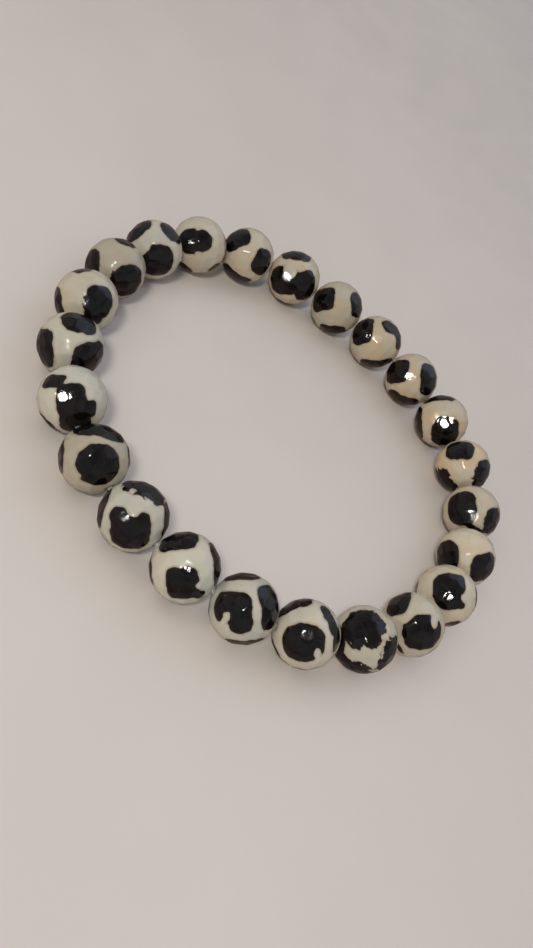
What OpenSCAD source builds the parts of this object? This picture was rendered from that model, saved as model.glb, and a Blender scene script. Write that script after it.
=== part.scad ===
// Stretch bracelet of round faceted agate beads on a loop of clear elastic.
// It lies flat: +Z is up, and the origin is on the surface under the middle of the loop.

/* [Beads] */
// Number of beads on the loop
bead_count = 23; // [18:1:27]
// Width of a bead across two opposite facets, in mm
bead_w = 7.75; // [5.8:0.05:7.75]
// Distance between the middles of neighbouring beads, in mm
bead_step = 8.02; // [8.02:0.02:9]
// Facets in each row round a bead
facets_round = 16; // [12:2:20]
// Rows of facets on each side of the middle row
side_rows = 3; // [3:1:4]
// Turn of each bead about the elastic after the bead before it, in degrees
bead_turn = 53; // [0:1:180]

/* [Elastic] */
// Diameter of the hole drilled through each bead, in mm
bore_d = 1.0; // [0.95:0.05:1.2]
// Diameter of the elastic, in mm
elastic_d = 0.7; // [0.4:0.05:0.75]
// Sides of the elastic's section
elastic_sides = 8; // [6:2:12]

/* [Shape of the loop] */
// Swing of the two-sided wave that makes the loop oval, in degrees
oval_swing = 5; // [0:0.5:8]
// Place of the oval wave round the loop, in degrees
oval_place = 305; // [0:5:360]
// Swing of the three-sided wave, in degrees
three_swing = 2; // [0:0.5:3.5]
// Place of the three-sided wave round the loop, in degrees
three_place = 120; // [0:5:360]
// Swing of the four-sided wave, in degrees
four_swing = 3; // [0:0.5:3.5]
// Place of the four-sided wave round the loop, in degrees
four_place = 285; // [0:5:360]

/* [Hidden] */
smooth = 48;
drill_spare = 1;
flat_r = bead_w / 2;
facet_turn = 360 / facets_round;
half_turn = facet_turn / 2;
row_turn = 90 / (side_rows + 1);
corners_round = 2 * facets_round;

function two_digits(n) = n < 10 ? str("0", n) : str(n);
function bead_name(n) = str("bead_", two_digits(n));

// The bead's form. Its facets touch one sphere and stand in rows round the bore, which runs along Z.
// Neighbouring rows are half a facet apart, so a facet of row k is at every second step of half_turn.

// Is a facet of this row in the middle of this step?
function has_facet(row, step) = (row + step) % 2 == 0;

// How far out along this step the row's nearest facet leans, as the cosine it takes
function lean(row, step) = cos(row * row_turn) * (has_facet(row, step) ? 1 : cos(half_turn));

// The corner at this step where the facets of a row and of the next row meet
function row_corner(row, step) =
    let (
        lean_below = lean(row, step),
        lean_above = lean(row + 1, step),
        rise_below = sin(row * row_turn),
        rise_above = sin((row + 1) * row_turn),
        share = flat_r / (lean_below * rise_above - lean_above * rise_below),
        out = share * (rise_above - rise_below),
        up = share * (lean_below - lean_above)
    )
    [out * cos(step * half_turn), out * sin(step * half_turn), up];

// The corner of the flat end, between two facets of the last row, on the side that up_or_down says
function end_corner(facet, up_or_down) =
    let (
        step = 2 * facet + (side_rows + 1) % 2,
        rise = sin(side_rows * row_turn),
        out = flat_r * (1 - rise) / lean(side_rows, step)
    )
    [out * cos(step * half_turn), out * sin(step * half_turn), up_or_down * flat_r];

// Every corner of a bead: the zigzags between rows from the lowest up, then its two ends
bead_corners = [
    for (row = [-side_rows:side_rows - 1]) for (step = [0:corners_round - 1]) row_corner(row, step),
    for (end = [-1, 1]) for (facet = [0:facets_round - 1]) end_corner(facet, end)
];

// Places of corners in that list
function zigzag(row, step) =
    (row + side_rows) * corners_round + (step + corners_round) % corners_round;
function end_place(end, facet) =
    2 * side_rows * corners_round
    + (end > 0 ? facets_round : 0)
    + (facet + facets_round) % facets_round;

// Facets, each seen clockwise from outside
function inner_facet(row, step) = [
    for (k = [1, 0, -1]) zigzag(row - 1, step + k),
    for (k = [-1, 0, 1]) zigzag(row, step + k)
];
function top_facet(facet) =
    let (step = 2 * facet + side_rows % 2, next = facet + side_rows % 2) [
        for (k = [1, 0, -1]) zigzag(side_rows - 1, step + k),
        end_place(1, next - 1),
        end_place(1, next)
    ];
function bottom_facet(facet) =
    let (step = 2 * facet + side_rows % 2, next = facet + side_rows % 2) [
        for (k = [-1, 0, 1]) zigzag(-side_rows, step + k),
        end_place(-1, next),
        end_place(-1, next - 1)
    ];

bead_facets = [
    for (row = [1 - side_rows:side_rows - 1])
        for (facet = [0:facets_round - 1])
            inner_facet(row, 2 * facet + abs(row) % 2),
    for (facet = [0:facets_round - 1]) top_facet(facet),
    for (facet = [0:facets_round - 1]) bottom_facet(facet),
    [for (facet = [facets_round - 1:-1:0]) end_place(1, facet)],
    [for (facet = [0:facets_round - 1]) end_place(-1, facet)]
];

// The loop. The elastic runs straight through each bead and bends in the gap before the next one.
// Bead 1 is at the front, and the beads run clockwise seen from above.

// Which way bead n points along the elastic
function heading(n) =
    let (even = 360 * (n - 1) / bead_count)
    180 - even
    + oval_swing * sin(2 * even + oval_place)
    + three_swing * sin(3 * even + three_place)
    + four_swing * sin(4 * even + four_place);

// How far the elastic turns between bead n and the next
function bend(n) = heading(n) - heading(n + 1);

// From a bead's middle to the bend after bead n, so that the two beads' middles are a step apart
function reach(n) = bead_step / 2 / cos(bend(n) / 2);

function ahead(n) = [cos(heading(n)), sin(heading(n))];

// Walks the loop: the bend before each bead, and last the point where the walk ends
function walk(n, from) =
    n > bead_count ? [from]
    : concat([from], walk(n + 1, from + (reach(n - 1) + reach(n)) * ahead(n)));
walked = walk(1, [0, 0]);

// The walk ends a little off its start, and every bend takes its share of that
miss = walked[bead_count] - walked[0];
closed = [for (k = [0:bead_count]) walked[k] - miss * k / bead_count];
bead_spots = [for (n = [1:bead_count]) closed[n - 1] + reach(n - 1) * ahead(n)];

// The middle of the loop's outer box
function mid_of(values) = (min(values) + max(values)) / 2;
loop_middle = [mid_of([for (p = bead_spots) p[0]]), mid_of([for (p = bead_spots) p[1]])];

// The height at which the lowest corner of all the beads is on the surface
function spin(n) = n * bead_turn;
function depth(corner, angle) = corner[0] * cos(angle) - corner[1] * sin(angle);
rest_h = max([for (n = [1:bead_count]) for (c = bead_corners) depth(c, spin(n))]);

module faceted_bead() {
    difference() {
        polyhedron(points = bead_corners, faces = bead_facets);
        cylinder(h = bead_w + 2 * drill_spare, d = bore_d, center = true, $fn = smooth);
    }
}

module bead(n) {
    spot = bead_spots[n - 1] - loop_middle;
    color("ivory")
        translate([spot[0], spot[1], rest_h])
            rotate([0, 90, heading(n)])
                rotate([0, 0, spin(n)])
                    faceted_bead();
}

// The elastic's ring of corners in the bend before bead k + 1, mitred between the two straight stretches
function elastic_ring(k) =
    let (
        bent = bend(k),
        across = heading(k + 1) + bent / 2 - 90,
        wide = elastic_d / 2 / cos(bent / 2),
        spot = closed[k] - loop_middle
    )
    [for (side = [0:elastic_sides - 1])
        let (angle = (side + 0.5) * 360 / elastic_sides)
        [
            spot[0] + wide * cos(angle) * cos(across),
            spot[1] + wide * cos(angle) * sin(across),
            rest_h + elastic_d / 2 * sin(angle)
        ]
    ];

function elastic_place(ring, side) =
    (ring % bead_count) * elastic_sides + side % elastic_sides;

module elastic() {
    points = [for (k = [0:bead_count - 1]) each elastic_ring(k)];
    faces = [
        for (ring = [0:bead_count - 1])
            for (side = [0:elastic_sides - 1])
                for (half = [0, 1])
                    half == 0 ? [
                        elastic_place(ring, side),
                        elastic_place(ring, side + 1),
                        elastic_place(ring + 1, side)
                    ] : [
                        elastic_place(ring, side + 1),
                        elastic_place(ring + 1, side + 1),
                        elastic_place(ring + 1, side)
                    ]
    ];
    color("gainsboro") polyhedron(points = points, faces = faces);
}

for (n = [1:bead_count])
    bead(n);
elastic();
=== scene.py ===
"""Looks of the dzi bead bracelet, lying flat: polished stone beads with dyed patches, clear elastic, floor,
light and camera."""
import math
from collections import namedtuple

import bpy
import numpy as np
from mathutils import Matrix, Vector


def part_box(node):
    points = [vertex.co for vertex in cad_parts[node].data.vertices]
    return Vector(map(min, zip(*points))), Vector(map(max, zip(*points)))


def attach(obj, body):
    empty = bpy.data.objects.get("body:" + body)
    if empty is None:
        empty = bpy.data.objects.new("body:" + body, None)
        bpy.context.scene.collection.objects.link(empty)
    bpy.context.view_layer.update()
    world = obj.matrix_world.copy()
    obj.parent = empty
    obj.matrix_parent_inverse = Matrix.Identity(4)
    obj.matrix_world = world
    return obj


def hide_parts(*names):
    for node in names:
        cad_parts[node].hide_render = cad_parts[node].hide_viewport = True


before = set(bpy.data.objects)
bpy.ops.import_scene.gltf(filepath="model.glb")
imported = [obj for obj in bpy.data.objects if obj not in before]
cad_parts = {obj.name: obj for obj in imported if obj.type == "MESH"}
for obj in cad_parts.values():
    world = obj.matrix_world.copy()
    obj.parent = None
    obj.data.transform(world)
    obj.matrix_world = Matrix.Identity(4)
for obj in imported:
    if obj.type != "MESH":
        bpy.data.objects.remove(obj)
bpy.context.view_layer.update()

# Sizes that the source of the solids holds too, in metres and degrees
MM = 0.001
BEAD_COUNT = 23
BEAD_W = 7.75 * MM
BEAD_STEP = 8.02 * MM
FACETS_ROUND = 16
SIDE_ROWS = 3
BEAD_TURN = 53
BORE_D = 1.0 * MM
ELASTIC_D = 0.7 * MM
Wave = namedtuple("Wave", "sides swing place")
WAVES = (Wave(2, 5, 305), Wave(3, 2, 120), Wave(4, 3, 285))

# Camera at the photograph's angle to the bracelet. The picture is upright, so the sensor's long side is its
# height.
EYE = Vector((-26.5, -75.1, 80.0)) * MM
TURN = math.radians(-21.1)
TILT_UP = math.radians(42.8)
ROLL = math.radians(42.8)
LENS_MM = 31.4
CLIP_START = 5 * MM

# Fineness of the bead meshes
ROUND_STEPS = 160
SIDE_STEPS = 112
# The facets touch a sphere of this radius
FACET_R = 3.93 * MM
# How sharply two facets meet, the share of a sphere in their form and that sphere's radius
EDGE_SHARPNESS = 130
DOME_SHARE = 0.08
DOME_R = 3.98 * MM
# How far the bore's mouth is chamfered
CHAMFER = 0.06 * MM


# Camera

def make_camera():
    data = bpy.data.cameras.new("camera")
    data.lens = LENS_MM
    data.clip_start = CLIP_START
    camera = bpy.data.objects.new("camera", data)
    bpy.context.scene.collection.objects.link(camera)
    camera.matrix_world = (
        Matrix.Translation(EYE)
        @ Matrix.Rotation(TURN, 4, "Z")
        @ Matrix.Rotation(TILT_UP, 4, "X")
        @ Matrix.Rotation(ROLL, 4, "Z")
    )
    bpy.context.scene.camera = camera
    return camera


camera = make_camera()
CAMERA_RIGHT = np.array(camera.matrix_world.to_3x3().col[0])


# The loop, as in the source of the solids

def heading(n):
    """Which way bead n points along the elastic."""
    even = 360 * (n - 1) / BEAD_COUNT
    swings = [wave.swing * math.sin(math.radians(wave.sides * even + wave.place)) for wave in WAVES]
    return math.radians(180 - even + sum(swings))


def ahead(n):
    return Vector((math.cos(heading(n)), math.sin(heading(n)), 0))


def bead_name(n):
    return f"bead_{n:02d}"


def bead_middle(n):
    low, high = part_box(bead_name(n))
    return (low + high) / 2


def bead_matrix(n):
    """The bead's own frame: its bore runs along Z."""
    return (
        Matrix.Translation(bead_middle(n))
        @ Matrix.Rotation(heading(n), 4, "Z")
        @ Matrix.Rotation(math.pi / 2, 4, "Y")
        @ Matrix.Rotation(math.radians(BEAD_TURN * n), 4, "Z")
    )


# The dyed pattern. Each bead's patches are charted in degrees, as they face the camera: how far right of and
# above the bead's nearest point a patch's middle is, its half width and half height, its lean to the left
# and how square it is. A dark mark is dyed, and two marks low at the rims also stand for painted shade
# there;
# a torn one has teeth along its edge too, and a bite is a cream notch in the marks before it.

Mark = namedtuple("Mark", "right up half_w half_h lean square torn bite")


def dark(right, up, half_w, half_h, lean=0, square=2.6):
    return Mark(right, up, half_w, half_h, lean, square, 0, False)


def torn(*sizes):
    return dark(*sizes)._replace(torn=1)


def bite(*sizes):
    return dark(*sizes)._replace(bite=True)


CHART = {
    1: [
        dark(-7, -7, 21, 34, 5, 3), dark(-37, 2, 18, 25), dark(-24, 15, 16, 13), bite(-38, -25, 13, 5, 40),
        bite(-28, -13, 6, 7), dark(51, 3, 24, 38, 10, 3), dark(-5, 77, 31, 25), dark(2, -87, 34, 27),
        dark(-103, -5, 27, 20),
    ],
    2: [
        dark(-4, -29, 27, 29, 5, 4.5), dark(24, -49, 12, 9, -15), bite(26, -30, 7, 5),
        dark(-14, 58, 33, 29, 0, 3.5), dark(74, 9, 24, 36, 12), dark(-90, -10, 26, 24),
    ],
    3: [
        dark(-6, -30, 33, 33, 0, 3), dark(-24, -3, 15, 18), dark(17, -12, 10, 17), bite(0, 5, 6, 6),
        torn(26, 58, 38, 29, -24, 3), bite(-3, 41, 3, 5), dark(84, -8, 28, 32), dark(-77, 22, 27, 33, -16),
    ],
    4: [
        dark(7, -11, 36, 36, 0, 2.2), bite(-27, -27, 7, 5, -35), dark(12, 68, 45, 31, -11),
        dark(-84, 5, 27, 28), dark(98, 10, 28, 26),
    ],
    5: [
        dark(-2, -3, 25, 31, 0, 3), dark(29, -16, 12, 14, 0, 3.5), dark(-35, 35, 22, 13, -12, 4),
        dark(4, -44, 27, 24, 0, 3), dark(-67, -67, 27, 27),
    ],
    6: [
        dark(-61, -6, 30, 35, -6, 3), dark(39, -30, 37, 34, 0, 3), dark(20, 49, 32, 27, -8, 3),
        dark(-18, -56, 15, 4),
    ],
    7: [
        dark(24, -1, 27, 30, -15), torn(3, -5, 9, 15), dark(10, -32, 17, 18),
        # The first mark below, at the left rim, is dye and also painted shade at the bead's lower left
        dark(-76, -12, 29, 33, 8), dark(-8, 84, 17, 24),
    ],
    8: [dark(26, -28, 32, 34), torn(3, -20, 13, 17), dark(-60, 10, 29, 31), dark(32, 76, 21, 27, -23)],
    9: [dark(6, -26, 35, 35), bite(-20, 3, 17, 8, 40), dark(-40, 52, 31, 27, 37, 3), dark(48, 44, 26, 25)],
    10: [
        dark(-10, 9, 38, 27, 0, 2.2), bite(-1, 37, 5, 7), bite(-3, -19, 5, 6), dark(-50, -66, 20, 24, -37),
        dark(48, -70, 15, 25, 33),
    ],
    11: [dark(-26, 42, 32, 28, 24, 3), dark(37, -17, 25, 28, -25, 3), dark(-36, -58, 37, 22, -33, 3)],
    12: [dark(-24, -7, 38, 33), dark(29, -21, 26, 36), bite(-8, 17, 14, 18), dark(8, 67, 34, 26, -5)],
    13: [dark(-36, 22, 30, 28, 0, 4.5), dark(60, 6, 27, 29, 5), dark(-11, -67, 31, 24, 0, 3.5)],
    14: [
        dark(-36, 30, 29, 35, 6, 3), dark(36, 38, 19, 18), dark(63, 13, 14, 28, 6), bite(36, 8, 10, 10),
        dark(5, -71, 38, 26, 0, 3.5),
    ],
    15: [dark(-38, 22, 32, 29, 0, 3.2), dark(47, 0, 27, 37), dark(-26, -60, 38, 24, -22, 3)],
    16: [dark(10, -28, 31, 39), dark(-10, 77, 38, 26), dark(-75, -5, 29, 38)],
    17: [dark(-7, 43, 31, 28, 0, 3), torn(-49, -40, 28, 32, 24, 3), torn(53, -22, 29, 33, -12)],
    18: [dark(-21, 12, 32, 38, 6), dark(6, -33, 22, 6, -36), dark(58, -20, 31, 28, 0, 3)],
    19: [dark(-44, 2, 31, 33), dark(42, -26, 33, 31, 0, 3)],
    20: [
        dark(5, 9, 29, 36), dark(27, 25, 13, 18), bite(38, -4, 10, 8), dark(25, -18, 13, 8, -20),
        # The last mark below, low at the rim, is dye and also painted shade at the bead's bottom
        dark(-94, 12, 27, 20), dark(100, -8, 28, 24), dark(14, -84, 18, 26),
    ],
    21: [
        dark(21, -16, 38, 33), bite(-9, 13, 15, 8, 35), bite(43, 7, 9, 12, -15), dark(-28, 50, 23, 33, 0, 3),
        dark(-28, -48, 4, 15, 12),
    ],
    22: [
        torn(0, 22, 37, 35), dark(-24, -9, 3, 9, 40), dark(-12, -11, 3, 9, 40), dark(8, -10, 3, 8, 40),
        bite(35, 3, 8, 6), torn(-32, -58, 36, 22, -28, 3), torn(51, -34, 21, 33, -12, 3),
        dark(-62, -2, 28, 24),
    ],
    23: [
        dark(-4, -16, 37, 34, 0, 2.2), bite(21, -41, 6, 16, 12), dark(-27, 66, 33, 23, 18, 3.5),
        dark(47, 27, 12, 27, 18), dark(63, -13, 13, 20), dark(-81, -48, 22, 27),
    ],
}

# How softly marks run into each other, in degrees
BLEND = 5

# Patches on the side that the chart doesn't reach, in degrees: where they and their middles may start, the
# half sizes that must find room, how much further they may grow, and the bands left between them
FILL_START = 84
FILL_REACH = 102
FILL_SIZES = (25, 19, 14)
FILL_GROWTH = 9
BAND = 13
# The places tried for their middles, and the share of beads on which they are torn
FILL_TRIES = 600
FILL_TORN = 0.25
GOLDEN_ANGLE = math.pi * (3 - math.sqrt(5))

# Farther than any outline, in degrees, and values that keep a division from failing
FARTHEST = 180.0
TINY_LENGTH = 1e-9
TINY_SHARE = 1e-6


def axes_at(right, up, lean=0):
    """Right, up and outward at a place on the bead, leaning to the left, as rows in its picture frame."""
    far = math.radians(math.hypot(right, up))
    round_by = math.atan2(up, right)
    out = np.array([math.sin(far) * math.cos(round_by), math.sin(far) * math.sin(round_by), math.cos(far)])
    away = np.array([math.cos(far) * math.cos(round_by), math.cos(far) * math.sin(round_by), -math.sin(far)])
    aside = np.array([-math.sin(round_by), math.cos(round_by), 0])
    turned = round_by - math.radians(lean)
    rightwards = math.cos(turned) * away - math.sin(turned) * aside
    upwards = math.sin(turned) * away + math.cos(turned) * aside
    return np.array([rightwards, upwards, out])


def mark_gap(mark, directions):
    """Degrees from each direction to the mark's outline, negative inside it."""
    right, up, out = (directions @ axes_at(mark.right, mark.up, mark.lean).T).T
    far = np.degrees(np.arccos(np.clip(out, -1, 1)))
    flat = np.maximum(np.hypot(right, up), TINY_LENGTH)
    across = np.abs(far * right / flat / mark.half_w) ** mark.square
    along = np.abs(far * up / flat / mark.half_h) ** mark.square
    share = np.maximum((across + along) ** (1 / mark.square), TINY_SHARE)
    return far - far / share


def soft_min(a, b):
    """The smaller of the two, going smoothly from one to the other."""
    overlap = np.maximum(BLEND - np.abs(a - b), 0)
    return np.minimum(a, b) - overlap ** 2 / (4 * BLEND)


def soft_max(a, b):
    """The larger of the two, going smoothly from one to the other."""
    return -soft_min(-a, -b)


def charted_pattern(marks, directions):
    """Degrees from each direction to the dye's edge, negative in the dye, and whether that edge is torn."""
    gap = np.full(len(directions), FARTHEST)
    edge_torn = np.zeros(len(directions))
    for mark in marks:
        near = mark_gap(mark, directions)
        if mark.bite:
            gap = soft_max(gap, -near)
        else:
            edge_torn = np.where(near < gap, mark.torn, edge_torn)
            gap = soft_min(gap, near)
    return gap, edge_torn


def degrees_between(directions, others):
    return np.degrees(np.arccos(np.clip(directions @ others.T, -1, 1)))


def even_directions(count, turned):
    """Directions spread evenly over a sphere, along a spiral that starts at this turn."""
    height = 1 - 2 * (np.arange(count) + 0.5) / count
    angle = turned + np.arange(count) * GOLDEN_ANGLE
    wide = np.sqrt(1 - height ** 2)
    return np.stack([wide * np.cos(angle), wide * np.sin(angle), height], -1)


def fill_patches(marks, draw):
    """Middles and half sizes of patches for the side that the chart doesn't reach."""
    tries = even_directions(FILL_TRIES, draw.uniform(0, 2 * math.pi))
    tries = tries[np.degrees(np.arccos(tries[:, 2])) > FILL_REACH]
    room = charted_pattern(marks, tries)[0]
    middles, sizes = [], []
    for size in FILL_SIZES:
        while (room > size + BAND).any():
            tightest = np.argmin(np.where(room > size + BAND, room, np.inf))
            middles.append(tries[tightest])
            sizes.append(size)
            room = np.minimum(room, degrees_between(tries, tries[tightest]) - size)
    return np.array(middles), np.array(sizes)


def whole_pattern(n, directions):
    """The charted pattern, and on the far side patches that grow towards each other up to a band's width."""
    draw = np.random.default_rng(n)
    gap, edge_torn = charted_pattern(CHART[n], directions)
    middles, sizes = fill_patches(CHART[n], draw)
    nearest, second = np.sort(degrees_between(directions, middles) - sizes, axis=1)[:, :2].T
    grown = soft_max(nearest - FILL_GROWTH, (BAND - second + nearest) / 2)
    grown = soft_max(grown, BAND - gap)
    start = FILL_START - np.degrees(np.arccos(np.clip(directions[:, 2], -1, 1)))
    grown = soft_max(grown, start)
    edge_torn = np.where(grown < gap, float(draw.random() < FILL_TORN), edge_torn)
    return np.minimum(gap, grown), edge_torn


def picture_frame(n):
    """The bead's picture frame: right, up and towards the camera, one in each row."""
    towards = np.array(EYE - bead_middle(n))
    towards /= np.linalg.norm(towards)
    right = CAMERA_RIGHT - (CAMERA_RIGHT @ towards) * towards
    right /= np.linalg.norm(right)
    return np.array([right, np.cross(towards, right), towards])


# Meshes

def facet_normals():
    """Which way the bead's flats face: its two ends and the facets of each row."""
    row_turn = 90 / (SIDE_ROWS + 1)
    normals = [(0, 0, 1), (0, 0, -1)]
    for row in range(-SIDE_ROWS, SIDE_ROWS + 1):
        rise = math.radians(row * row_turn)
        for facet in range(FACETS_ROUND):
            turned = 2 * math.pi * (facet + (row % 2) / 2) / FACETS_ROUND
            wide = math.cos(rise)
            normals.append((wide * math.cos(turned), wide * math.sin(turned), math.sin(rise)))
    return np.array(normals)


FACET_NORMALS = facet_normals()


def bead_radius(directions):
    """How far the bead reaches: flat facets, rounded where they meet and slightly domed."""
    facing = np.clip(directions @ FACET_NORMALS.T, 0, None)
    faceted = FACET_R / (facing ** EDGE_SHARPNESS).sum(-1) ** (1 / EDGE_SHARPNESS)
    return (1 - DOME_SHARE) * faceted + DOME_SHARE * DOME_R


def ring(radius, height):
    """Points round the bore's axis."""
    turned = np.arange(ROUND_STEPS) * 2 * math.pi / ROUND_STEPS
    return np.stack([radius * np.cos(turned), radius * np.sin(turned), np.full(ROUND_STEPS, height)], -1)


def bead_points():
    """Rings of points from the bore's upper mouth over the skin to its lower mouth, and back up the bore."""
    end = BEAD_W / 2
    bore_r = BORE_D / 2
    mouth = math.atan((bore_r + CHAMFER) / end)
    angles = np.linspace(mouth, math.pi - mouth, SIDE_STEPS)
    skin = np.array([ring(math.sin(angle), math.cos(angle)) for angle in angles])
    skin *= bead_radius(skin)[..., None]
    edge = [(bore_r + CHAMFER / 3, end - CHAMFER / 3), (bore_r, end - CHAMFER)]
    bore = [ring(r, -z) for r, z in edge] + [ring(r, z) for r, z in reversed(edge)]
    return np.concatenate([skin, bore])


def closed_faces(rows, columns):
    """Four-sided faces of a net that closes on itself both ways, and each corner's row and column."""
    row, column = (x.ravel() for x in np.meshgrid(np.arange(rows), np.arange(columns), indexing="ij"))
    corner_row = np.stack([row, row + 1, row + 1, row], -1)
    corner_column = np.stack([column, column, column + 1, column + 1], -1)
    return (corner_row % rows) * columns + corner_column % columns, corner_row, corner_column


def net_object(name, points, material):
    """A smooth mesh from rings of points, with a map that is rows by columns."""
    rows, columns = points.shape[:2]
    faces, corner_row, corner_column = closed_faces(rows, columns)
    mesh = bpy.data.meshes.new(name)
    mesh.from_pydata(points.reshape(-1, 3).tolist(), [], faces.tolist())
    mesh.polygons.foreach_set("use_smooth", np.ones(len(faces), bool))
    steps = np.linalg.norm(np.diff(points, axis=0, append=points[:1]), axis=-1).mean(1)
    along = np.concatenate([[0], np.cumsum(steps)]) / steps.sum()
    flat = np.stack([corner_column / columns, along[corner_row]], -1)
    mesh.uv_layers.new(name="OFBake").data.foreach_set("uv", flat.astype(np.float32).ravel())
    mesh.materials.append(material)
    piece = bpy.data.objects.new(name, mesh)
    bpy.context.scene.collection.objects.link(piece)
    return piece


# Materials

# Places of the inputs and the result of a node that mixes colours
MIX_SHARE, MIX_A, MIX_B, MIX_RESULT = 0, 6, 7, 2


class Nodes:
    """Writes the node tree of a material or world as calls.

    A number or colour given for an input is set on it, and a socket is linked.
    """

    def __init__(self, owner):
        owner.use_nodes = True
        self.owner = owner
        self.tree = owner.node_tree
        self.tree.nodes.clear()

    def add(self, kind, inputs=(), **settings):
        made = self.tree.nodes.new(kind)
        for key, value in settings.items():
            setattr(made, key, value)
        for key, value in dict(inputs).items():
            if isinstance(value, bpy.types.NodeSocket):
                self.tree.links.new(value, made.inputs[key])
            else:
                made.inputs[key].default_value = value
        return made

    def attribute(self, name):
        return self.add("ShaderNodeAttribute", attribute_name=name).outputs["Fac"]

    def noise(self, size, detail=2.0, roughness=0.5, shift=0.0):
        """Noise whose lumps are about this size in metres."""
        place = self.add("ShaderNodeTexCoord").outputs["Object"]
        if shift:
            moved = self.add("ShaderNodeVectorMath", {0: place, 1: (shift, shift, shift)}, operation="ADD")
            place = moved.outputs[0]
        inputs = {"Vector": place, "Scale": 1 / size, "Detail": detail, "Roughness": roughness}
        return self.add("ShaderNodeTexNoise", inputs).outputs["Fac"]

    def math(self, operation, a, b):
        return self.add("ShaderNodeMath", {0: a, 1: b}, operation=operation).outputs[0]

    def ramp(self, value, low, high, to_low=0.0, to_high=1.0, kind="SMOOTHSTEP"):
        """Goes from to_low to to_high while the value goes from low to high, and stays there beyond them."""
        inputs = {"Value": value, "From Min": low, "From Max": high, "To Min": to_low, "To Max": to_high}
        return self.add("ShaderNodeMapRange", inputs, interpolation_type=kind).outputs["Result"]

    def lumps(self, size, low, high, to_low=0.0, to_high=1.0, **kind):
        """Noise whose values between low and high are spread from to_low to to_high."""
        return self.ramp(self.noise(size, **kind), low, high, to_low, to_high)

    def mix(self, share, a, b):
        inputs = {MIX_SHARE: share, MIX_A: a, MIX_B: b}
        return self.add("ShaderNodeMix", inputs, data_type="RGBA").outputs[MIX_RESULT]

    def scale(self, colour, factor):
        inputs = {0: colour, "Scale": factor}
        return self.add("ShaderNodeVectorMath", inputs, operation="SCALE").outputs[0]

    def bump(self, height, depth, normal=None):
        inputs = {"Height": height, "Distance": depth, "Strength": 1.0}
        if normal is not None:
            inputs["Normal"] = normal
        return self.add("ShaderNodeBump", inputs).outputs["Normal"]

    def finish(self, **inputs):
        shader = self.add("ShaderNodeBsdfPrincipled", inputs).outputs[0]
        self.add("ShaderNodeOutputMaterial", {"Surface": shader})
        return self.owner


# Attributes of the bead meshes: millimetres to the nearest dyed edge, how torn it is, and how yellow and how
# pale the bead is
GAP = "dye_gap"
TORN = "torn"
WARMTH = "warmth"
PALENESS = "paleness"

# Colours of the stone
IVORY = (0.61, 0.587, 0.486, 1)
AMBER = (0.62, 0.475, 0.30, 1)
COOL_CREAM = (0.53, 0.55, 0.485, 1)
VEIN = (0.50, 0.44, 0.30, 1)
STAIN = (0.30, 0.22, 0.13, 1)
BLACK = (0.003, 0.0026, 0.003, 1)
BROWN_BLACK = (0.008, 0.005, 0.0045, 1)
EDGE_BROWN = (0.026, 0.014, 0.010, 1)
STONE_IOR = 1.54
STONE_SPECULAR = 0.36
# Millimetres that the dye's edge wanders and the depth of its teeth, their least share on an edge that isn't
# torn, and half the width over which the dye fades
EDGE_WANDER = 0.09
TEETH = 0.28
LEAST_TEETH = 0.15
EDGE_FADE = 0.035
# Millimetres from the dye between which its stain on the cream fades, and the largest shares of the colour
# that the stain and the veins take
STAIN_FADE = (0.03, 0.32)
STAIN_SHARE = 0.45
VEIN_SHARE = 0.22
# Millimetres inside the dye at which its brown edge ends
BROWN_REACH = 0.30
# How rough the dyed stone is, how much rougher the cream is, and how much lumps add at most
DYED_ROUGHNESS = 0.06
CREAM_ROUGHER = 0.08
LUMPS_ROUGHER = 0.05
# Depths of the polish's ripple and fine scratches, and of the step at the dye's edge
RIPPLE_DEPTH = 0.032 * MM
SCRATCH_DEPTH = 0.0012 * MM
ETCHED_DEPTH = 0.006 * MM
# Half the width of that step, in millimetres
ETCHED_HALF = 0.05


def dyed_edge(nodes):
    """Millimetres to the dye's edge, which wanders, and has teeth where it is torn."""
    wander = nodes.lumps(1.5 * MM, 0.25, 0.75, -EDGE_WANDER, EDGE_WANDER, detail=1.0)
    teeth = nodes.lumps(0.75 * MM, 0.3, 0.7, -TEETH, TEETH)
    torn_share = nodes.ramp(nodes.attribute(TORN), 0.0, 1.0, to_low=LEAST_TEETH)
    in_patches = nodes.lumps(2.0 * MM, 0.40, 0.55, to_low=0.3, shift=0.6)
    jagged = nodes.math("MULTIPLY", teeth, nodes.math("MULTIPLY", torn_share, in_patches))
    return nodes.math("ADD", nodes.math("ADD", nodes.attribute(GAP), wander), jagged)


def cream_colour(nodes, edge):
    """Cloudy cream between ivory, amber and a cool grey, with fine veins and a stain along the dye."""
    clouds = nodes.mix(nodes.lumps(3.5 * MM, 0.45, 0.7), IVORY, COOL_CREAM)
    amber_lumps = nodes.lumps(2.6 * MM, 0.3, 0.65, to_low=0.35, shift=0.7)
    cream = nodes.mix(nodes.math("MULTIPLY", nodes.attribute(WARMTH), amber_lumps), clouds, AMBER)
    veins = nodes.lumps(0.7 * MM, 0.5, 0.75, to_high=VEIN_SHARE, detail=4.0, roughness=0.65, shift=0.3)
    cream = nodes.scale(nodes.mix(veins, cream, VEIN), nodes.attribute(PALENESS))
    stained = nodes.ramp(edge, *STAIN_FADE, to_low=STAIN_SHARE, to_high=0.0)
    return nodes.mix(stained, cream, STAIN)


def dye_colour(nodes, edge):
    """Nearly black, browner in lumps and near the dye's edge."""
    black = nodes.mix(nodes.lumps(1.9 * MM, 0.35, 0.7, detail=3.0, shift=0.5), BLACK, BROWN_BLACK)
    return nodes.mix(nodes.ramp(edge, -BROWN_REACH, 0.0), black, EDGE_BROWN)


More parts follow.
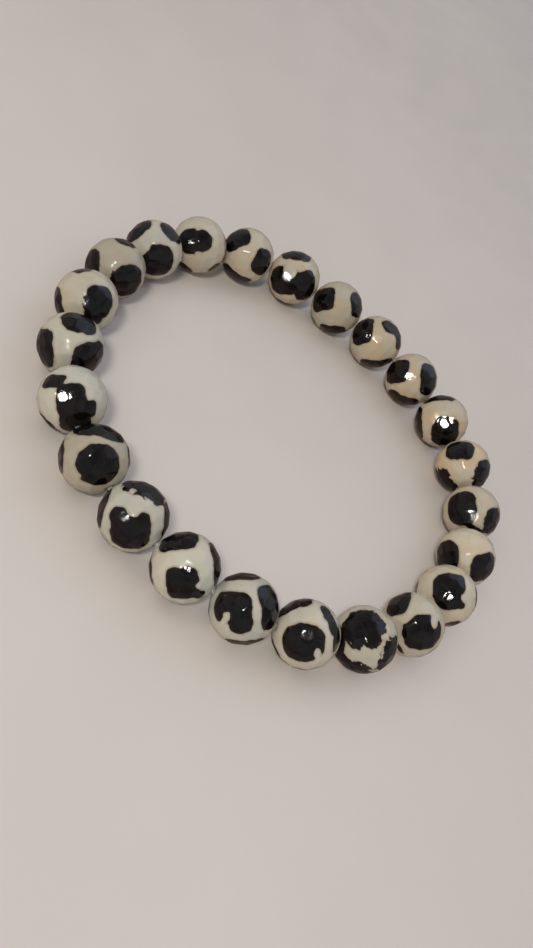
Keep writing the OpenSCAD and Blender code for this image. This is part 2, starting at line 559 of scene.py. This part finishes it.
def stone_material():
    nodes = Nodes(bpy.data.materials.new("bead_stone"))
    edge = dyed_edge(nodes)
    cream_share = nodes.ramp(edge, -EDGE_FADE, EDGE_FADE)
    colour = nodes.mix(cream_share, dye_colour(nodes, edge), cream_colour(nodes, edge))

    # Polished, duller on the cream, with the faint ripple and fine scratches that polishing leaves
    dull = nodes.math("ADD", nodes.math("MULTIPLY", cream_share, CREAM_ROUGHER), DYED_ROUGHNESS)
    dull_lumps = nodes.lumps(0.9 * MM, 0.3, 0.75, to_high=LUMPS_ROUGHER, detail=3.0, shift=0.2)
    ripple = nodes.bump(nodes.noise(1.1 * MM, detail=3.0, shift=0.9), RIPPLE_DEPTH)
    scratched = nodes.bump(nodes.noise(0.12 * MM, shift=0.4), SCRATCH_DEPTH, ripple)
    etched = nodes.bump(nodes.ramp(edge, -ETCHED_HALF, ETCHED_HALF), ETCHED_DEPTH, scratched)
    return nodes.finish(**{
        "Base Color": colour,
        "Roughness": nodes.math("ADD", dull, dull_lumps),
        "Normal": etched,
        "IOR": STONE_IOR,
        "Specular IOR Level": STONE_SPECULAR,
    })


MILKY = (0.86, 0.87, 0.85, 1)
CLOUDED = (0.74, 0.76, 0.74, 1)
ELASTIC_IOR = 1.5
ELASTIC_CLEARNESS = 0.6
# How rough the elastic is, and the depth of its fine unevenness
ELASTIC_ROUGHNESS = (0.12, 0.25)
ELASTIC_DEPTH = 0.004 * MM


def elastic_material():
    nodes = Nodes(bpy.data.materials.new("clear_elastic"))
    return nodes.finish(**{
        "Base Color": nodes.mix(nodes.lumps(0.8 * MM, 0.35, 0.7), MILKY, CLOUDED),
        "Roughness": nodes.lumps(0.4 * MM, 0.3, 0.7, *ELASTIC_ROUGHNESS),
        "Normal": nodes.bump(nodes.noise(0.15 * MM), ELASTIC_DEPTH),
        "IOR": ELASTIC_IOR,
        "Transmission Weight": ELASTIC_CLEARNESS,
    })


# Pieces

# The beads go from ivory to amber round the loop: the share at the middle, its swing and the yellowest bead
WARM_SHARE = 0.5
WARM_SWING = 0.4
WARMEST_BEAD = 15.5
# Beads that differ from that
ODD_WARMTHS = {1: -0.2, 4: 0.45, 7: 0.35, 8: 0.2, 9: -0.1, 13: -0.15, 17: 0.3}
# Beads that are paler or darker than the rest
ODD_PALENESS = {2: 1.1, 4: 0.83, 5: 1.05, 8: 0.8, 13: 0.88, 17: 1.1, 19: 1.17, 20: 1.12, 23: 1.1}


def bead_warmth(n):
    swing = WARM_SWING * math.cos(2 * math.pi * (n - WARMEST_BEAD) / BEAD_COUNT)
    return WARM_SHARE + swing + ODD_WARMTHS.get(n, 0)


def make_bead(n, local_points, material):
    matrix = np.array(bead_matrix(n))
    middle = matrix[:3, 3]
    points = local_points @ matrix[:3, :3].T + middle
    piece = net_object(f"{bead_name(n)}_stone", points, material)
    around = (points - middle).reshape(-1, 3)
    around /= np.linalg.norm(around, axis=1)[:, None]
    gap, edge_torn = whole_pattern(n, around @ picture_frame(n).T)
    everywhere = np.ones(len(gap))
    values = {
        GAP: np.radians(gap) * BEAD_W / 2 / MM,
        TORN: edge_torn,
        WARMTH: bead_warmth(n) * everywhere,
        PALENESS: ODD_PALENESS.get(n, 1) * everywhere,
    }
    for kind, value in values.items():
        held = piece.data.attributes.new(kind, "FLOAT", "POINT").data
        held.foreach_set("value", value.astype(np.float32))
    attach(piece, "root")
    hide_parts(bead_name(n))


ELASTIC_SIDES = 16
# How far from its corner the elastic starts to bend, and the rings of points in the bend
BEND_REACH = 0.35 * MM
BEND_STEPS = 5


def elastic_bend(n):
    """Points along the elastic where it bends in the gap after bead n."""
    following = n % BEAD_COUNT + 1
    turned = heading(n) - heading(n + 1)
    reach = BEAD_STEP / 2 / math.cos(turned / 2)
    corner = (bead_middle(n) + reach * ahead(n) + bead_middle(following) - reach * ahead(following)) / 2
    first = corner - BEND_REACH * ahead(n)
    last = corner + BEND_REACH * ahead(following)
    shares = np.linspace(0, 1, BEND_STEPS)
    return [first * (1 - t) ** 2 + corner * (2 * t * (1 - t)) + last * t ** 2 for t in shares]


def make_elastic(material):
    path = [p for n in range(1, BEAD_COUNT + 1) for p in elastic_bend(n)]
    above = Vector((0, 0, 1))
    rings = []
    for k, point in enumerate(path):
        along = (path[(k + 1) % len(path)] - path[k - 1]).normalized()
        across = along.cross(above)
        rings.append([
            point + ELASTIC_D / 2 * (math.cos(a) * across + math.sin(a) * above)
            for a in np.arange(ELASTIC_SIDES) * 2 * math.pi / ELASTIC_SIDES
        ])
    piece = net_object("elastic_cord", np.array(rings), material)
    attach(piece, "root")
    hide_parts("elastic")


# Stage

# Corners of the floor, as shares of its half width
CORNERS = ((-1, -1), (1, -1), (1, 1), (-1, 1))
FLOOR_HALF = 3.0
FLOOR_IOR = 1.45
# How rough the floor is, and the depth of its fine grain
FLOOR_ROUGHNESS = (0.55, 0.65)
FLOOR_DEPTH = 0.01 * MM
# The size of the floor's faint lumps and its two tones
FLOOR_LUMPS = 60 * MM
FLOOR_TONES = ((0.78, 0.715, 0.655, 1), (0.81, 0.745, 0.685, 1))
# The ground that the beads mirror: just above the floor, with lumps and tones of its own that paint shade in
# their reflections
MIRRORED_HEIGHT = 0.02 * MM
MIRRORED_SHADE_LUMPS = 9 * MM
MIRRORED_SHADE_TONES = ((0.22, 0.15, 0.13, 1), (0.62, 0.48, 0.43, 1))


def floor_material(name, lumps, tones):
    nodes = Nodes(bpy.data.materials.new(name))
    return nodes.finish(**{
        "Base Color": nodes.mix(nodes.lumps(lumps, 0.35, 0.65, detail=3.0), *tones),
        "Roughness": nodes.lumps(8 * MM, 0.3, 0.7, *FLOOR_ROUGHNESS),
        "Normal": nodes.bump(nodes.noise(0.5 * MM), FLOOR_DEPTH),
        "IOR": FLOOR_IOR,
    })


def make_floor(name, height, lumps, tones):
    mesh = bpy.data.meshes.new(name)
    points = [(x * FLOOR_HALF, y * FLOOR_HALF, height) for x, y in CORNERS]
    mesh.from_pydata(points, [], [(0, 1, 2, 3)])
    mesh.materials.append(floor_material(name, lumps, tones))
    floor = bpy.data.objects.new(name, mesh)
    bpy.context.scene.collection.objects.link(floor)
    return floor


def make_floors():
    """The pale floor, and the darker and warmer ground that the beads mirror in its place, as painted shade
    in their reflections.
    """
    floor = make_floor("floor", 0, FLOOR_LUMPS, FLOOR_TONES)
    floor.visible_glossy = False
    # Seen only in the beads' reflections, its dark tones and lumps are painted shade and light there
    mirrored = make_floor("mirrored_shade_ground", MIRRORED_HEIGHT, MIRRORED_SHADE_LUMPS, MIRRORED_SHADE_TONES)
    mirrored.visible_camera = False
    mirrored.visible_diffuse = False
    mirrored.visible_transmission = False
    mirrored.visible_shadow = False


# The room: dark and pale lumps, which fade into a plain wall near the horizon
DARK_LUMPS = (0.165, 0.165, 0.17, 1)
PALE_LUMPS = (0.46, 0.45, 0.445, 1)
WALL = (0.36, 0.355, 0.355, 1)
# Scale of the lumps' noise, and the heights between which the wall gives way to them, where 1 is overhead
ROOM_LUMPS = 3.0
WALL_ENDS = (0.22, 0.5)


def make_world():
    world = bpy.data.worlds.new("world")
    nodes = Nodes(world)
    direction = nodes.add("ShaderNodeTexCoord").outputs["Generated"]
    inputs = {"Vector": direction, "Scale": ROOM_LUMPS, "Detail": 2.0}
    noise = nodes.add("ShaderNodeTexNoise", inputs).outputs["Fac"]
    lumps = nodes.mix(nodes.ramp(noise, 0.38, 0.66, kind="LINEAR"), DARK_LUMPS, PALE_LUMPS)
    height = nodes.add("ShaderNodeSeparateXYZ", {0: direction}).outputs["Z"]
    room = nodes.mix(nodes.ramp(height, *WALL_ENDS), WALL, lumps)
    background = nodes.add("ShaderNodeBackground", {"Color": room}).outputs[0]
    nodes.add("ShaderNodeOutputWorld", {"Surface": background})
    bpy.context.scene.world = world


# Oval lamps: the direction that a lamp stands in, its distance, width and height in metres, its radiance and
# colour, and the direction of its width
Lamp = namedtuple("Lamp", "direction distance width height radiance colour across", defaults=[(1, 0, 0)])
LAMPS = {
    "window": Lamp((0.39, 0.56, 0.73), 1.0, 1.5, 1.1, 0.37, (0.63, 0.75, 1.0)),
    "window_middle": Lamp((0.42, 0.53, 0.73), 0.98, 0.9, 0.6, 0.52, (0.58, 0.73, 1.0)),
    "overhead": Lamp((-0.55, 0.10, 0.83), 1.0, 0.9, 0.9, 0.62, (1.0, 0.93, 0.84)),
    "key": Lamp((-0.31, -0.545, 0.778), 0.35, 0.064, 0.040, 60, (1.0, 0.95, 0.89), (0.93, -0.10, 0.36)),
}


def make_lamp(name, aim, lamp):
    """Stands the lamp away from the point aim, facing it."""
    data = bpy.data.lights.new(name, "AREA")
    data.shape = "ELLIPSE"
    data.size = lamp.width
    data.size_y = lamp.height
    data.energy = lamp.radiance * math.pi * math.pi * lamp.width * lamp.height / 4
    data.color = lamp.colour
    away = Vector(lamp.direction).normalized()
    up = away.cross(Vector(lamp.across)).normalized()
    facing = Matrix([up.cross(away), up, away]).transposed().to_4x4()
    made = bpy.data.objects.new(name, data)
    made.matrix_world = Matrix.Translation(Vector(aim) + away * lamp.distance) @ facing
    bpy.context.scene.collection.objects.link(made)
    return made


# Places that mirror a small lamp into the camera: the bead, how many degrees right of and above its nearest
# point the place is, and the lamp's width and height in mm, its lean to the left in degrees and its radiance
Glint = namedtuple("Glint", "bead right up width height lean radiance")
GLINTS = (
    Glint(2, 1, 0, 2.0, 0.9, -35, 0.8),
    Glint(3, -11, -4, 1.3, 0.8, -30, 0.5),
    Glint(5, -11, 1, 9.0, 3.6, -10, 1.3),
    Glint(5, -3, 3, 6.5, 3.8, -10, 1.8),
    Glint(6, -3, -7, 1.2, 1.2, 0, 8.0),
    Glint(7, -4, -5, 2.0, 1.6, 30, 3.0),
    Glint(10, -17, 5, 1.6, 1.6, 0, 0.9),
    Glint(12, -12, 5, 3.8, 3.4, 0, 3.5),
    Glint(14, -13, 12, 0.8, 2.2, -10, 0.28),
    Glint(15, -9, 11, 4.0, 5.4, 0, 1.0),
    Glint(16, 6, -4, 6.0, 6.0, 0, 1.8),
    Glint(16, 7, 9, 4.4, 1.5, 0, 2.2),
    Glint(16, -7, 0, 2.2, 3.8, 0, 2.4),
    Glint(16, 19, 2, 2.4, 3.2, 0, 2.2),
    Glint(18, -1, 3, 4.6, 3.6, 0, 3.0),
    Glint(18, 1, -3, 3.0, 2.0, 0, 2.0),
    Glint(20, -1, 1, 2.8, 1.6, -30, 0.9),
    Glint(20, 7, -3, 2.6, 1.4, -30, 0.9),
)
GLINT_DISTANCE = 50 * MM
GLINT_SPREAD = math.radians(9)
GLINT_COLOUR = (1.0, 0.97, 0.93)
# How far apart the points are that give the skin's slope, as a share of the bead's radius
SKIN_STEP = 0.001


def skin_place(n, right, up):
    """A point on the bead's skin, in degrees right of and above its nearest one, and which way it faces."""
    turned = np.array(bead_matrix(n).to_3x3())
    beside, above, out = axes_at(right, up) @ picture_frame(n) @ turned
    directions = np.array([out, out + SKIN_STEP * beside, out + SKIN_STEP * above])
    directions /= np.linalg.norm(directions, axis=1)[:, None]
    here, aside, higher = bead_radius(directions)[:, None] * directions @ turned.T
    return bead_middle(n) + Vector(here), Vector(np.cross(aside - here, higher - here)).normalized()


def make_glint(name, glint):
    """A small lamp that its bead mirrors into the camera."""
    place, facing = skin_place(glint.bead, glint.right, glint.up)
    lean = math.radians(glint.lean)
    across = np.array([math.cos(lean), math.sin(lean), 0]) @ picture_frame(glint.bead)
    towards = (EYE - place).normalized()
    mirrored = 2 * towards.dot(facing) * facing - towards
    width = glint.width * MM
    height = glint.height * MM
    lamp = Lamp(mirrored, GLINT_DISTANCE, width, height, glint.radiance, GLINT_COLOUR, across)
    made = make_lamp(name, place, lamp)
    made.data.spread = GLINT_SPREAD
    made.visible_diffuse = False
    made.visible_camera = False


def make_lights():
    """Lamps round the loop, of which the overhead one isn't mirrored, and the glints."""
    made = {name: make_lamp(name, (0, 0, 0), lamp) for name, lamp in LAMPS.items()}
    made["overhead"].visible_glossy = False
    for k, glint in enumerate(GLINTS):
        make_glint(f"glint_{k:02d}", glint)


stone = stone_material()
local_points = bead_points()
for number in range(1, BEAD_COUNT + 1):
    make_bead(number, local_points, stone)
make_elastic(elastic_material())
make_floors()
make_world()
make_lights()
bpy.context.scene.view_settings.view_transform = "Standard"
